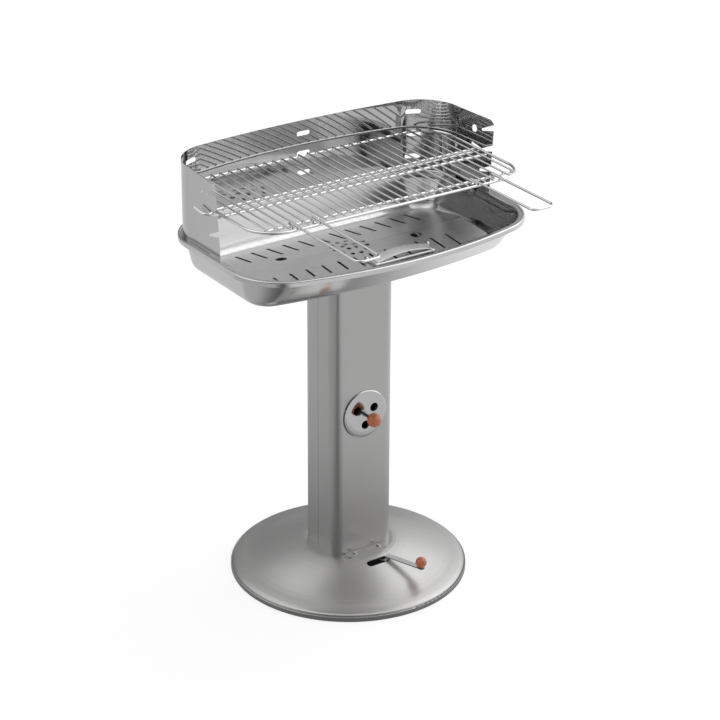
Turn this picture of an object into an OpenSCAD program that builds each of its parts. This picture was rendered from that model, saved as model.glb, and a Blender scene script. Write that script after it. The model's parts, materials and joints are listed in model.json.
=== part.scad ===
// Charcoal grill on a column: round foot, hollow column with a rotary air vent,
// oblong fire bowl, charcoal plate, three-sided windscreen and a cooking grid.
// Origin: floor level on the column's axis. +Z up, +X along the bowl, front -Y.

/* [Base] */
// Radius of the round base
base_r = 223; // [200:1:250]
// Height of the trim ring at the edge of the base
base_ring_h = 9; // [7:0.5:12]
// Wall of the trim ring
base_ring_wall = 2.6; // [1.6:0.1:4]
// Thickness of the lip of the trim ring under the base sheet
base_lip_t = 1; // [0.8:0.1:1.6]
// Reach of that lip inwards
base_lip_w = 5; // [3:0.5:8]
// Height of the flat crown that the column stands on
base_crown_z = 53.5; // [46:0.5:66]
// Flat margin of the crown round the column
base_crown_margin = 8; // [6:0.5:12]
// Thickness of the base sheet
base_sheet = 1.5; // [1:0.1:2]
// Radius of the air and ash opening in the base
base_opening_r = 24; // [18:0.5:28]

/* [Ash pan] */
// Outer radius of the ash pan
pan_r = 92; // [86:1:100]
// Height of the ash pan
pan_h = 34; // [20:1:38]
// Wall of the ash pan
pan_wall = 1.2; // [0.8:0.1:2]
// Width of each hanger tab
pan_tab_w = 14; // [8:1:20]

/* [Foot brackets] */
// Length of a foot bracket
foot_len = 92; // [76:1:104]
// Reach of a foot bracket outside the column
foot_reach = 18; // [14:0.5:22]
// Thickness of a foot bracket
foot_t = 2; // [1.5:0.1:3]
// Height of the upright leg inside the column
foot_leg_h = 32; // [16:1:50]
// Width of the upright leg inside the column
foot_leg_w = 74; // [50:1:80]
// Distance between the two screws
foot_screw_gap = 53; // [40:1:64]
// Shank radius of the foot screws
foot_screw_r = 2.4; // [2:0.1:3]
// Head radius of the foot screws
foot_head_r = 4.4; // [3.6:0.1:5.2]
// Head height of the foot screws
foot_head_h = 2.4; // [1.6:0.1:3.4]
// Height of the nuts of the foot screws
foot_nut_h = 3; // [2:0.1:4]

/* [Damper] */
// Distance of the pivot in front of the column's axis
damper_pivot_y = 60; // [57:0.5:64]
// Radius of the pivot pin
damper_pin_r = 3; // [2.4:0.1:3.6]
// Swing of the lever to each side of the middle
damper_swing = 25.5; // [15:0.5:26]
// Length of the lever from pivot to tip
damper_lever_l = 127; // [112:1:140]
// Width of the lever
damper_lever_w = 12; // [9:0.5:14]
// Thickness of the lever
damper_lever_t = 2; // [1.5:0.1:2.5]
// Distance from pivot to the riser that goes through the slot
damper_riser_d = 45; // [43:0.5:47]
// Width of the riser
damper_riser_w = 8; // [6:0.5:9]
// Fall of the lever from riser to tip, in degrees
damper_fall = 3.8; // [0:0.1:5]
// Length of the slot in the base
slot_len = 50; // [49:0.5:60]
// Width of the slot in the base
slot_w = 15; // [13:0.5:18]
// Distance of the slot in front of the column's axis
slot_y = 102; // [101:0.5:103]
// Radius of the wooden ball on the lever
lever_ball_r = 10.5; // [8:0.5:13]
// Distance of the ball from the tip of the lever
lever_ball_inset = 8; // [6:0.5:12]

/* [Column] */
// Width of the column
col_w = 131.8; // [120:0.2:150]
// Depth of the column
col_d = 104.7; // [96:0.1:112]
// Corner radius of the column
col_r = 20; // [14:0.5:26]
// Wall of the column shells
col_wall = 1.2; // [0.8:0.1:2]
// Height of the underside of the bowl, where the column ends
bowl_z = 624; // [560:1:680]
// Place of the seam between front and rear shell
col_seam_y = 2.5; // [-10:0.5:10]
// Width of the open seam
col_seam_gap = 0.6; // [0.3:0.1:1.2]
// Length of the lap behind the seam
col_lap = 12; // [6:1:20]
// Height of the collar at the column's top
collar_h = 28; // [16:1:50]
// Width of the collar's inward flange
collar_flange = 12.5; // [11.5:0.1:16]

/* [Vent] */
// Height of the vent's centre
vent_z = 336; // [200:1:480]
// Radius of the vent disc
vent_r = 47; // [42:0.5:52]
// Thickness of the vent disc
vent_t = 1.2; // [0.8:0.1:2]
// Rise of the disc's middle over its rim
vent_dish = 2.4; // [1:0.1:4]
// Radius of each air hole
vent_hole_r = 8.5; // [6:0.5:9]
// Radius on which the air holes lie
vent_hole_circle = 21; // [19:0.5:26]
// Number of air holes
vent_holes = 3; // [2:1:4]
// Radius of the vent's screw
vent_screw_r = 2.5; // [2:0.1:3]
// Radius of the sleeve behind the ball
vent_sleeve_r = 4; // [3.5:0.1:5]
// Radius of the wooden ball of the vent
vent_ball_r = 13.5; // [10:0.5:17]
// Distance of the ball's centre in front of the column
vent_ball_out = 32; // [26:0.5:40]

/* [Bowl] */
// Length of the bowl over its rim
bowl_len = 600; // [560:1:660]
// Front of the rim at the middle, from the column's axis
bowl_front = 217; // [205:1:235]
// Rear of the rim at the middle, from the column's axis
bowl_rear = 177; // [172:1:195]
// Radius of the bow of the rim's front
bowl_front_bow = 861; // [700:1:1400]
// Radius of the bow of the rim's rear
bowl_rear_bow = 2200; // [1500:10:3500]
// Corner radius of the rim
bowl_corner = 101; // [96:1:112]
// Height of the bowl
bowl_h = 76; // [66:1:90]
// Width of the rim outside the wall
rim_w = 12; // [11:0.2:15]
// Drop of the turned edge of the rim
rim_drop = 8; // [5:0.5:12]
// Width of the rolled bead
bead_w = 6; // [4:0.2:7]
// Rise of the rolled bead over the rim
bead_h = 1.2; // [0.6:0.1:2]
// Wall of the bowl
bowl_wall = 1.2; // [0.8:0.1:1.6]
// How far each end of the bowl's bottom stands inside the rim's end
bottom_inset = 36.5; // [30:0.5:50]
// Front of the bottom at the middle
bottom_front = 136; // [126:1:146]
// Rear of the bottom at the middle
bottom_rear = 143; // [140:1:150]
// Bow radius of the bottom's front
bottom_front_bow = 1320; // [1000:10:2000]
// Bow radius of the bottom's rear
bottom_rear_bow = 3400; // [2500:50:5000]
// Corner radius of the bottom
bottom_corner = 45; // [40:1:60]
// Rounding between bottom and wall
bottom_round = 22; // [16:1:26]
// Shank radius of the bowl's bolts
bolt_r = 2.5; // [2:0.1:2.8]
// Head radius of the bowl's bolts
bolt_head_r = 4.6; // [4:0.1:4.8]
// Head height of the bowl's bolts
bolt_head_h = 3.2; // [2:0.1:4]
// Distance between the bolts in depth
bolt_gap = 60; // [40:1:66]

/* [Windscreen] */
// Height of the windscreen over the rim
screen_h = 138.5; // [125:0.5:160]
// Thickness of the windscreen sheet
screen_t = 1; // [0.8:0.1:1.4]
// Front edge of the side panels, in front of the column's axis
screen_front = 31; // [25:1:36]
// Corner radius of the windscreen
screen_corner = 80; // [76:1:86]
// How far the front top corners lean out
screen_lean = 7.5; // [0:0.5:8]
// Rounding of the front top corners
screen_tip = 12; // [6:1:16]
// Height of the notches' mouths at the front edge
notch_mouth = 12; // [9:0.5:14]
// Fall of a notch from its mouth to its seat
notch_fall = 8.5; // [4:0.1:11]
// Rise of the notches from one level to the next
notch_pitch = 39; // [36:0.5:42]
// Length of the lock slot behind the middle notch
lock_len = 27; // [15:1:32]
// Rise of the lock slot
lock_rise = 5; // [2:0.5:7]
// Radius of the hanging holes in the side panels
hang_r = 7; // [3:0.5:8]
// Place of the hanging holes, behind the column's axis
hang_y = 22; // [14:1:40]
// Distance of the hanging holes from the windscreen's top
hang_down = 28; // [20:1:34]
// Length of the slots in the back panel
back_slot_len = 28; // [16:1:40]
// Width of the slots in the back panel
back_slot_w = 9; // [6:0.5:12]
// Rise from one middle slot to the next
back_slot_pitch = 38; // [20:1:44]
// Place of the middle slots beside the panel's middle
back_slot_shift = 8; // [0:1:40]
// Distance of the outer slots from the column's axis
side_slot_x = 240; // [200:1:250]
// Rise from one outer slot to the next
side_slot_pitch = 44; // [20:1:46]
// How far the middle one of the outer slots lies under the support wire
side_slot_drop = 4; // [0:0.5:10]
// Place of the fixing tongues, behind the column's axis
tongue_y = 40; // [35:1:60]
// Length of the fixing tongue inside the bowl
tongue_l = 22; // [16:1:28]
// Width of the fixing tongue
tongue_w = 64; // [48:1:80]
// Shank radius of the windscreen's screws
screen_screw_r = 2; // [1.6:0.1:2.4]
// Head radius of the windscreen's screws
screen_head_r = 3.8; // [3:0.1:4.6]
// Head height of the windscreen's screws
screen_head_h = 2; // [1.4:0.1:3]
// Height of the nuts of the windscreen's screws
screen_nut_h = 3; // [2:0.1:4]
// Distance between the two screws of a tongue
screen_screw_gap = 40; // [28:1:48]

/* [Charcoal plate] */
// Gap between each end of the charcoal plate and the end of the bowl's bottom
coal_end_gap = 13.5; // [9.5:0.5:28]
// Front edge of the plate at the middle
coal_front = 120; // [112:1:124]
// Rear edge of the plate at the middle
coal_rear = 131; // [122:1:133]
// Corner radius of the plate
coal_corner = 30; // [20:1:40]
// Thickness of the plate
coal_t = 1.5; // [1:0.1:2]
// Place of the ridge, in front of the column's axis
coal_ridge_y = 2; // [-4:0.5:6]
// Height of the ridge over the bowl's floor
coal_ridge_h = 26; // [22:0.5:32]
// Height of the front edge over the bowl's floor
coal_front_h = 17.6; // [14:0.2:20]
// Height of the rear edge's underside over the bowl's floor
coal_rest_h = 3.4; // [3.3:0.1:5]
// Pitch of the slots
coal_pitch = 33.5; // [30:0.5:36]
// Number of rear slots
coal_rear_slots = 12; // [8:1:13]
// Number of front slots
coal_front_slots = 12; // [8:1:12]
// Width of the slots
coal_slot_w = 5; // [3:0.5:8]
// Length of the rear slots
coal_slot_len = 56; // [24:1:60]
// Middle of the rear slots, behind the column's axis
coal_slot_y = 73; // [71:0.5:80]
// Place of the rear slots to the right of an even spread
coal_rear_shift = 5.5; // [0:0.5:8]
// Length of the front slots at the middle
front_slot_len = 40; // [24:1:46]
// Rear ends of the front slots, in front of the column's axis
front_slot_y = 42.5; // [41:0.5:50]
// Place of the front slots to the left of an even spread
coal_front_shift = 4; // [0:0.5:8]
// Radius of the small holes over the column
coal_hole_r = 4.2; // [2.5:0.1:4.5]
// Radius on which the inner small holes lie
inner_holes_r = 12.5; // [10:0.5:18]
// Radius on which the outer small holes lie
outer_holes_r = 33; // [28:0.5:34]
// Radius of the two large holes
coal_big_r = 10.5; // [6:0.5:13]
// Width of the front legs
coal_leg_w = 24; // [12:1:40]

/* [Plate handle] */
// Place of the handle along the plate
bail_x = 57; // [0:1:70]
// Distance of the handle's pivot in front of the column's axis
bail_pivot_y = 68; // [62:1:74]
// Width of the handle between its legs
bail_w = 124; // [90:1:130]
// Reach of the handle from pivot to bar
bail_reach = 26; // [20:1:32]
// Radius of the handle's wire
bail_wire_r = 2; // [1.5:0.1:2.5]
// Height of the pivot over the plate
bail_lift = 4; // [3.2:0.1:6]
// Distance of each end of the grip strip from the middle of the handle's leg
grip_end_gap = 3; // [2.5:0.5:12]
// Width of the grip strip
grip_w = 24; // [16:1:26]
// Rise of the grip strip's arch
grip_rise = 9; // [4:0.5:14]
// Thickness of the grip strip
grip_t = 1.2; // [0.8:0.1:2]

/* [Cooking grid] */
// Distance of the frame's side wires from the windscreen's side panels
grid_side_gap = 8; // [6:0.5:20]
// Front wire of the frame, in front of the column's axis
grid_front = 155; // [145:0.5:175]
// Rear wire of the frame, behind the column's axis
grid_rear = 138; // [120:0.5:142]
// Corner radius of the frame
grid_corner = 60; // [54:1:70]
// Radius of the frame's wire
frame_wire_r = 2.5; // [2:0.1:3]
// Radius of the grid bars
bar_r = 1.7; // [1.3:0.1:1.9]
// Distance of the outermost bar from the frame's side wire
bar_end_gap = 21.7; // [18:0.1:30]
// Number of grid bars on each side of the middle one
bar_side_count = 14; // [12:1:14]
// Second cross wire, behind the front wire
hinge_back = 22.5; // [18:0.5:28]
// Height of the support wire, as a share of the windscreen's height
support_share = 0.545; // [0.5:0.005:0.6]
// Place of the support wire, behind the column's axis
support_y = -1; // [-4:0.5:6]
// Steady wire beside the support wire, in front of the column's axis
steady_y = 24; // [14:0.5:40]
// Gap between each end of the steady wire and the side panel
steady_gap = 4; // [3:0.5:8]
// How far each end of the support wire stands out of the side panel
support_over = 11; // [9:0.5:16]
// Bend radius of the support wire's ends
support_bend = 8; // [6:0.5:12]
// Length of the hooked ends of the support wire
hook_len = 26; // [20:1:60]
// Rise of the hooked ends, in degrees
hook_rise = 6; // [0:0.5:12]

/* [Grid handles] */
// Radius of the handles' wire
handle_wire_r = 2.2; // [1.8:0.1:2.3]
// Reach of the left handle from its hinge wire
handle_left_reach = 206; // [120:1:220]
// Reach of the right handle from its hinge wire
handle_right_reach = 181; // [120:1:220]
// Corner radius of the handles' free ends
handle_corner = 12; // [8:1:20]

/* [Hidden] */

$fn = 64;
fine_fn = 96;
wire_fn = 20;

// clearance of a turning fit, of a loose fit and of a seat
run_gap = 0.05;
hole_gap = 0.1;
seat_gap = 0.3;
// overrun of the cuts
over = 1;

// sizes that follow the bowl's length
bottom_len = bowl_len - 2 * bottom_inset;
screen_side_x = bowl_len / 2 - rim_w;
coal_len = bottom_len - 2 * coal_end_gap;
grid_half = screen_side_x - grid_side_gap;
bar_pitch = (grid_half - bar_end_gap) / bar_side_count;
steady_half = screen_side_x - steady_gap;
support_half = screen_side_x + support_over;

// colours
satin_grey = [0.66, 0.65, 0.64];
pale_grey = [0.72, 0.72, 0.72];
steel = [0.78, 0.78, 0.79];
bright = [0.86, 0.86, 0.88];
dark_steel = [0.45, 0.45, 0.46];
wood = [0.80, 0.48, 0.32];

// Shared helpers
module rounded_2d(w, d, r) {
    square([w - 2 * r, d], center = true);
    square([w, d - 2 * r], center = true);
    for (sx = [-1, 1], sy = [-1, 1])
        translate([sx * (w / 2 - r), sy * (d / 2 - r)])
            circle(r = r);
}

module slot_2d(l, w) {
    square([l - w, w], center = true);
    for (s = [-1, 1])
        translate([s * (l - w) / 2, 0])
            circle(d = w);
}

// closed solid through rings of equal length, with flat ends; with mirrored, the two
// halves are split into triangles as mirror images, and both sides of the sheet alike
module loft(rings, mirrored = false) {
    n = len(rings[0]);
    m = len(rings);
    pts = [for (ring = rings) for (p = ring) p];
    sides = [for (i = [0:m - 2]) for (j = [0:n - 1])
        let (a = i * n + j, b = a + n, c = (i + 1) * n + (j + 1) % n, d = c - n)
        for (face = !mirrored || (i < m / 2) == (j > 1)
            ? [[a, b, c], [a, c, d]] : [[a, b, d], [b, c, d]]) face];
    first = [for (j = [0:n - 1]) j];
    last = [for (j = [n - 1:-1:0]) (m - 1) * n + j];
    polyhedron(points = pts, faces = concat([first], sides, [last]), convexity = 10);
}

// Outline with bowed long sides, as a list: half length, front, rear, front bow
// radius, rear bow radius, corner radius.
function inset(o, d) = [for (v = o) v - d];
function blend(a, b, s) = a + (b - a) * s;
function corner_x(o) = o[0] - o[5];
function bow_angle(o, bow) = asin(corner_x(o) / (bow - o[5]));
function corner_y(o, reach, bow) =
    reach - bow + sqrt(pow(bow - o[5], 2) - pow(corner_x(o), 2));
corner_steps = 9;
bow_steps = 12;
function outline(o) =
    let (x = corner_x(o), c = o[5],
         yr = corner_y(o, o[2], o[4]), yf = corner_y(o, o[1], o[3]),
         ar = bow_angle(o, o[4]), af = bow_angle(o, o[3]))
    concat(
        [for (i = [0:corner_steps]) let (t = (90 - ar) * i / corner_steps)
            [x + c * cos(t), yr + c * sin(t)]],
        [for (i = [1:bow_steps - 1]) let (t = ar - 2 * ar * i / bow_steps)
            [o[4] * sin(t), o[2] - o[4] + o[4] * cos(t)]],
        [for (i = [0:corner_steps]) let (t = 90 + ar + (90 - ar) * i / corner_steps)
            [-x + c * cos(t), yr + c * sin(t)]],
        [for (i = [0:corner_steps]) let (t = 180 + (90 - af) * i / corner_steps)
            [-x + c * cos(t), -yf + c * sin(t)]],
        [for (i = [1:bow_steps - 1]) let (t = -af + 2 * af * i / bow_steps)
            [o[3] * sin(t), -(o[1] - o[3] + o[3] * cos(t))]],
        [for (i = [0:corner_steps]) let (t = 270 + af + (90 - af) * i / corner_steps)
            [x + c * cos(t), -yf + c * sin(t)]]);
function level(o, z) = [for (p = outline(o)) [p[0], p[1], z]];

// Base
col_reach = norm([col_w / 2 - col_r, col_d / 2 - col_r]) + col_r;
base_crown_r = col_reach + base_crown_margin;
base_edge_r = base_r - base_ring_wall - hole_gap;
base_edge_z = base_ring_h + base_lip_t / 2;
crown_under_z = base_crown_z - base_sheet;

// dome section: share of the way from edge to crown, share of the rise
dome_shares = [[0, 0], [0.008, 0.045], [0.025, 0.085], [0.06, 0.13], [0.12, 0.18],
               [0.2, 0.235], [0.28, 0.305], [0.38, 0.41], [0.5, 0.55], [0.6, 0.665],
               [0.7, 0.77], [0.8, 0.867], [0.88, 0.932], [0.95, 0.98], [1, 1]];
function dome_pts(r_edge, drop) = [for (s = dome_shares)
    [r_edge - s[0] * (r_edge - base_crown_r),
     base_edge_z - drop + s[1] * (base_crown_z - base_edge_z)]];
module dome_section() {
    inner = dome_pts(base_edge_r - base_sheet, base_sheet);
    n = len(inner);
    polygon(concat(
        [[base_edge_r - base_sheet, base_lip_t], [base_edge_r, base_lip_t]],
        dome_pts(base_edge_r, 0),
        [[base_opening_r, base_crown_z], [base_opening_r, crown_under_z]],
        [for (i = [n - 1:-1:0]) inner[i]]));
}

module foot_screw_places() {
    for (s = [-1, 1], t = [-1, 1])
        translate([s * foot_screw_gap / 2, t * foot_screw_y, 0])
            children();
}

module base_plate() {
    color(pale_grey)
        difference() {
            rotate_extrude($fn = fine_fn)
                dome_section();
            translate([0, -slot_y, 0])
                linear_extrude(base_crown_z + over)
                    slot_2d(slot_len, slot_w);
            foot_screw_places()
                translate([0, 0, crown_under_z - over])
                    cylinder(r = foot_screw_r + hole_gap, h = base_sheet + 2 * over);
        }
}

ring_round = base_ring_wall / 2;
module base_trim_ring() {
    color(satin_grey)
        rotate_extrude($fn = fine_fn) {
            translate([base_r - base_ring_wall, 0])
                square([base_ring_wall, base_ring_h - ring_round]);
            translate([base_r - ring_round, base_ring_h - ring_round])
                circle(r = ring_round, $fn = wire_fn);
            translate([base_edge_r - base_sheet - base_lip_w, 0])
                square([base_lip_w + base_sheet + base_ring_wall / 2, base_lip_t]);
        }
}

pan_tab_angles = [35, 90, 145];
pan_tab_reach = crown_under_z - pan_h - seat_gap;
pan_tab_r = base_crown_r - pan_wall;
module ash_pan() {
    color(dark_steel) {
        rotate_extrude($fn = fine_fn)
            polygon([[0, 0], [pan_r, 0], [pan_r, pan_h], [pan_r - pan_wall, pan_h],
                     [pan_r - pan_wall, pan_wall], [0, pan_wall]]);
        for (a = pan_tab_angles)
            rotate([0, 0, a]) {
                translate([pan_tab_r - pan_wall, -pan_tab_w / 2, pan_h - pan_wall])
                    cube([pan_r - pan_tab_r + pan_wall / 2, pan_tab_w, pan_wall]);
                translate([pan_tab_r - pan_wall, -pan_tab_w / 2, pan_h - pan_wall])
                    cube([pan_wall, pan_tab_w, pan_tab_reach + pan_wall]);
            }
    }
}

// Foot brackets
foot_screw_y = col_d / 2 + foot_reach / 2 + col_wall / 2;
foot_round = foot_reach / 2;
shell_inner_y = col_d / 2 - col_wall;
module foot_bracket() {
    difference() {
        union() {
            translate([0, -col_d / 2 - foot_reach / 2, base_crown_z])
                linear_extrude(foot_t)
                    rounded_2d(foot_len, foot_reach, foot_round - over / 2);
            translate([-foot_leg_w / 2, -col_d / 2 - foot_t, base_crown_z])
                cube([foot_leg_w, foot_t + col_wall + foot_t, foot_t]);
            translate([-foot_leg_w / 2, -shell_inner_y, base_crown_z])
                cube([foot_leg_w, foot_t, foot_leg_h]);
        }
        for (s = [-1, 1])
            translate([s * foot_screw_gap / 2, -foot_screw_y, base_crown_z - over])
                cylinder(r = foot_screw_r + hole_gap, h = foot_t + 2 * over);
    }
}

module foot_bracket_front() {
    color(satin_grey)
        foot_bracket();
}

module foot_bracket_rear() {
    color(satin_grey)
        rotate([0, 0, 180])
            foot_bracket();
}

foot_tail = foot_nut_h + over;
module foot_screws() {
    color(dark_steel)
        foot_screw_places() {
            translate([0, 0, base_crown_z + foot_t])
                cylinder(r1 = foot_head_r, r2 = foot_head_r * 0.8, h = foot_head_h);
            translate([0, 0, crown_under_z - foot_tail])
                cylinder(r = foot_screw_r, h = foot_tail + base_sheet + foot_t + foot_head_h / 2);
        }
}

module foot_nuts() {
    color(steel)
        foot_screw_places()
            translate([0, 0, crown_under_z - foot_nut_h])
                difference() {
                    cylinder(r = foot_head_r, h = foot_nut_h, $fn = 6);
                    translate([0, 0, -over])
                        cylinder(r = foot_screw_r + run_gap, h = foot_nut_h + 2 * over);
                }
}

// Damper under the base
damper_drop = 5;
valve_lap = 5;
valve_r = base_opening_r + valve_lap;
valve_floor_z = crown_under_z - damper_drop;
valve_wall = base_sheet;
lever_top_z = valve_floor_z;
lever_low_z = lever_top_z - damper_lever_t;
pin_head_h = 2;
pin_head_r = 2 * damper_pin_r;
lever_over_base = 1;
lever_out_z = base_crown_z + lever_over_base;

module damper_place() {
    translate([0, -damper_pivot_y, 0])
        rotate([0, 0, damper_swing])
            children();
}

module damper_pivot() {
    color(steel)
        translate([0, -damper_pivot_y, 0]) {
            translate([0, 0, lever_low_z - seat_gap - pin_head_h])
                cylinder(r = pin_head_r, h = pin_head_h);
            translate([0, 0, lever_low_z - seat_gap - pin_head_h / 2])
                cylinder(r = damper_pin_r, h = crown_under_z - lever_low_z + seat_gap + pin_head_h / 2);
            translate([0, 0, crown_under_z - pin_shoulder_h])
                cylinder(r = pin_head_r, h = pin_shoulder_h);
        }
}
pin_shoulder_h = damper_drop - valve_wall - seat_gap;

// the part of the lever outside the base, in its own sloping frame
lever_out_l = damper_lever_l - damper_riser_d;
module lever_slope() {
    translate([0, -damper_riser_d + damper_lever_t / 2, lever_out_z])
        rotate([damper_fall, 0, 0])
            children();
}

lever_screw_r = lever_ball_r * 0.19;
lever_ball_d = lever_out_l - lever_ball_inset;
module damper_lever() {
    color(steel)
        damper_place()
            difference() {
                union() {
                    translate([0, 0, lever_low_z])
                        cylinder(d = damper_lever_w, h = damper_lever_t);
                    translate([-damper_lever_w / 2, -damper_riser_d - damper_lever_t / 2, lever_low_z])
                        cube([damper_lever_w, damper_riser_d + damper_lever_t / 2, damper_lever_t]);
                    translate([-damper_riser_w / 2, -damper_riser_d - damper_lever_t / 2, lever_low_z])
                        cube([damper_riser_w, damper_lever_t, lever_out_z - lever_low_z + damper_lever_t / 2]);
                    lever_slope() {
                        translate([-damper_lever_w / 2, -lever_out_l + damper_lever_w / 2, 0])
                            cube([damper_lever_w, lever_out_l - damper_lever_w / 2, damper_lever_t]);
                        translate([0, -lever_out_l + damper_lever_w / 2, 0])
                            cylinder(d = damper_lever_w, h = damper_lever_t);
                    }
                }
                translate([0, 0, lever_low_z - over])
                    cylinder(r = damper_pin_r + run_gap, h = damper_lever_t + 2 * over);
                lever_slope()
                    translate([0, -lever_ball_d, -over])
                        cylinder(r = lever_screw_r + hole_gap, h = damper_lever_t + 2 * over);
            }
}

// cup-shaped valve that swings under the opening
module damper_plate() {
    color(dark_steel)
        translate([0, -damper_pivot_y, 0])
            rotate([0, 0, 2 * damper_swing])
                difference() {
                    union() {
                        translate([0, damper_pivot_y, valve_floor_z])
                            cylinder(r = valve_r, h = damper_drop - seat_gap);
                        translate([-damper_lever_w / 2, 0, valve_floor_z])
                            cube([damper_lever_w, damper_pivot_y, valve_wall]);
                        translate([0, 0, valve_floor_z])
                            cylinder(d = damper_lever_w, h = valve_wall);
                    }
                    translate([0, damper_pivot_y, valve_floor_z + valve_wall])
                        cylinder(r = valve_r - valve_wall, h = damper_drop);
                    translate([0, 0, valve_floor_z - over])
                        cylinder(r = damper_pin_r + run_gap, h = valve_wall + 2 * over);
                }
}

ball_flat_share = 0.05;
module damper_knob() {
    color(wood)
        damper_place()
            lever_slope()
                translate([0, -lever_ball_d, damper_lever_t])
                    difference() {
                        translate([0, 0, lever_ball_r * (1 - ball_flat_share)])
                            sphere(r = lever_ball_r, $fn = 48);
                        translate([0, 0, -lever_ball_r])
                            cylinder(r = lever_ball_r, h = lever_ball_r);
                        translate([0, 0, -over])
                            cylinder(r = lever_screw_r + hole_gap, h = lever_ball_r + over);
                    }
}

module damper_knob_screw() {
    color(steel)
        damper_place()
            lever_slope()
                translate([0, -lever_ball_d, 0]) {
                    translate([0, 0, -lever_screw_r])
                        cylinder(r = 2 * lever_screw_r, h = lever_screw_r);
                    translate([0, 0, -lever_screw_r / 2])
                        cylinder(r = lever_screw_r, h = lever_screw_r / 2 + damper_lever_t + lever_ball_r - over);
                }
}

// Column
module column_2d(inner) {
    rounded_2d(col_w - 2 * inner, col_d - 2 * inner, col_r - inner);
}

module column_wall_2d() {
    difference() {
        column_2d(0);
        column_2d(col_wall);
    }
}

foot_cut_h = foot_t + seat_gap;
vent_shaft_gap = run_gap;
module vent_holes_cut(r, circle_r, h) {
    for (i = [0:vent_holes - 1])
        rotate([0, 0, vent_turn + i * 360 / vent_holes])
            translate([circle_r, 0, 0])
                cylinder(r = r, h = h);
}
// turn of the first air hole
vent_turn = 29;

module column_front_shell() {
    color(satin_grey)
        difference() {
            translate([0, 0, base_crown_z])
                linear_extrude(bowl_z - base_crown_z)
                    intersection() {
                        column_wall_2d();
                        translate([-col_w / 2 - over, -col_d / 2 - over])
                            square([col_w + 2 * over, col_d / 2 + over + col_seam_y - col_seam_gap / 2]);
                    }
            translate([-foot_leg_w / 2 - seat_gap, -col_d / 2 - over, base_crown_z - over])
                cube([foot_leg_w + 2 * seat_gap, col_wall + 2 * over, over + foot_cut_h]);
            translate([0, -shell_inner_y + over, vent_z])
                rotate([90, 0, 0]) {
                    vent_holes_cut(vent_hole_r, vent_hole_circle, col_wall + 2 * over);
                    cylinder(r = vent_screw_r + vent_shaft_gap, h = col_wall + 2 * over);
                }
        }
}

lap_x = col_w / 2 - 2 * col_wall - hole_gap;
module column_rear_shell() {
    color(satin_grey)
        difference() {
            translate([0, 0, base_crown_z])
                linear_extrude(bowl_z - base_crown_z) {
                    intersection() {
                        column_wall_2d();
                        translate([-col_w / 2 - over, col_seam_y + col_seam_gap / 2])
                            square([col_w + 2 * over, col_d / 2 + over]);
                    }
                    for (s = [-1, 1])
                        scale([s, 1]) {
                            translate([lap_x, col_seam_y - col_lap])
                                square([col_wall, col_lap + col_wall]);
                            translate([lap_x, col_seam_y + col_seam_gap / 2])
                                square([col_wall + hole_gap + col_wall / 2, col_wall]);
                        }
                }
            translate([-foot_leg_w / 2 - seat_gap, shell_inner_y - over, base_crown_z - over])
                cube([foot_leg_w + 2 * seat_gap, col_wall + 2 * over, over + foot_cut_h]);
        }
}

collar_inset = 2 * col_wall + 3 * hole_gap;
collar_wall = col_wall;
module collar_opening_2d() {
    rounded_2d(col_w - 2 * (collar_inset + collar_flange), col_d - 2 * (collar_inset + collar_flange),
               col_r - collar_inset - collar_wall);
}

bolt_x = col_w / 2 - collar_inset - collar_wall - bolt_head_r - seat_gap;
module bolt_places() {
    for (s = [-1, 1], t = [-1, 1])
        translate([s * bolt_x, t * bolt_gap / 2, bowl_z])
            children();
}

module column_collar() {
    color(steel)
        difference() {
            translate([0, 0, bowl_z - collar_h])
                linear_extrude(collar_h)
                    column_2d(collar_inset);
            translate([0, 0, bowl_z - collar_h - over])
                linear_extrude(collar_h + over - foot_t)
                    column_2d(collar_inset + collar_wall);
            translate([0, 0, bowl_z - collar_h])
                linear_extrude(collar_h + over)
                    collar_opening_2d();
            bolt_places()
                translate([0, 0, -foot_t - over])
                    cylinder(r = bolt_r + hole_gap, h = foot_t + 2 * over);
        }
}

// Vent
vent_back = seat_gap;
module vent_frame() {
    translate([0, -col_d / 2, vent_z])
        rotate([90, 0, 0])
            children();
}

vent_hub_r = 1.5 * vent_sleeve_r;
vent_hub_h = vent_t;
module vent_disc() {
    color(bright)
        vent_frame()
            difference() {
                union() {
                    rotate_extrude($fn = fine_fn)
                        polygon([
                            [0, vent_back + vent_dish],
                            [vent_r * 0.72, vent_back + vent_dish],
                            [vent_r * 0.86, vent_back + vent_dish * 0.72],
                            [vent_r * 0.95, vent_back + vent_dish * 0.3],
                            [vent_r - vent_t / 2, vent_back],
                            [vent_r, vent_back],
                            [vent_r, vent_back + vent_t / 2],
                            [vent_r * 0.96, vent_back + vent_dish * 0.3 + vent_t],
                            [vent_r * 0.87, vent_back + vent_dish * 0.72 + vent_t],
                            [vent_r * 0.73, vent_back + vent_dish + vent_t],
                            [0, vent_back + vent_dish + vent_t]]);
                    translate([0, 0, vent_back])
                        cylinder(r = vent_hub_r, h = vent_dish + vent_t + vent_hub_h);
                }
                translate([0, 0, -over])
                    vent_holes_cut(vent_hole_r, vent_hole_circle, vent_ball_out);
                translate([0, 0, -over])
                    cylinder(r = vent_screw_r + vent_shaft_gap, h = vent_ball_out);
            }
}

vent_hub_top = vent_back + vent_dish + vent_t + vent_hub_h;
vent_ball_flat = vent_ball_out - vent_ball_r * (1 - ball_flat_share);
module vent_sleeve() {
    color(bright)
        vent_frame()
            translate([0, 0, vent_hub_top])
                difference() {
                    cylinder(r = vent_sleeve_r, h = vent_ball_flat - vent_hub_top);
                    translate([0, 0, -over])
                        cylinder(r = vent_screw_r + vent_shaft_gap, h = vent_ball_out);
                }
}

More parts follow.
